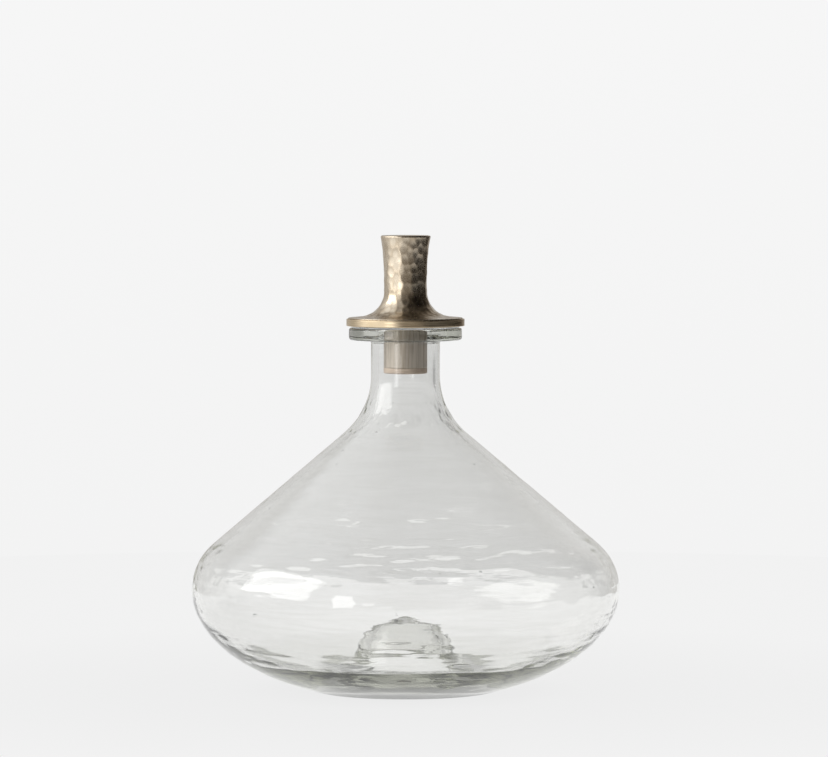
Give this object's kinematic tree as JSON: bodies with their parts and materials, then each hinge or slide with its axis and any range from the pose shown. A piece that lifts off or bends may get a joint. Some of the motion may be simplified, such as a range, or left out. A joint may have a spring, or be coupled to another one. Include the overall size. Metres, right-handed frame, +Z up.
{
  "type": "glass decanter",
  "caption": "Low wide blown-glass decanter with a narrow neck and a flat lip, closed by a drop-in stopper with a waisted, hammered brass knob.",
  "frame": {"origin": "centre of the ring that the bottle stands on, at the height of the surface under it", "axes": "+Z up along the bottle's axis, which the stopper shares; the part is round, so X and Y are free"},
  "size_m": [0.2, 0.2, 0.2124],
  "materials": {
    "clear_glass": "clear, hand blown, slightly wavy",
    "clear_silicone": "translucent, smooth",
    "hammered_brass": "hammered, antique",
    "turned_brass": "turned, satin, antique",
    "brushed_brass": "brushed lengthwise, pale",
    "coppery_brass": "satin, copper-toned",
    "steel": "plain zinc-plated"
  },
  "bodies": {
    "bottle": {"bottle": "clear_glass"},
    "gasket": {"lip_gasket": "clear_silicone"},
    "stopper": {"rim_plate": "turned_brass", "knob_shell": "hammered_brass", "knob_cap": "turned_brass", "plug_sleeve": "brushed_brass", "plug_end_cap": "coppery_brass", "tie_screw": "steel", "nut_washer": "steel", "knob_nut": "steel"}
  },
  "joints": [
    {"name": "stopper_lift", "type": "slide", "parent": "bottle", "child": "gasket", "axis": [0, 0, 1], "range_m": [0, 0.06]},
    {"name": "stopper_turn", "type": "hinge", "parent": "gasket", "child": "stopper", "pos_m": [0, 0, 0.1702], "axis": [0, 0, 1], "continuous": true}
  ]
}
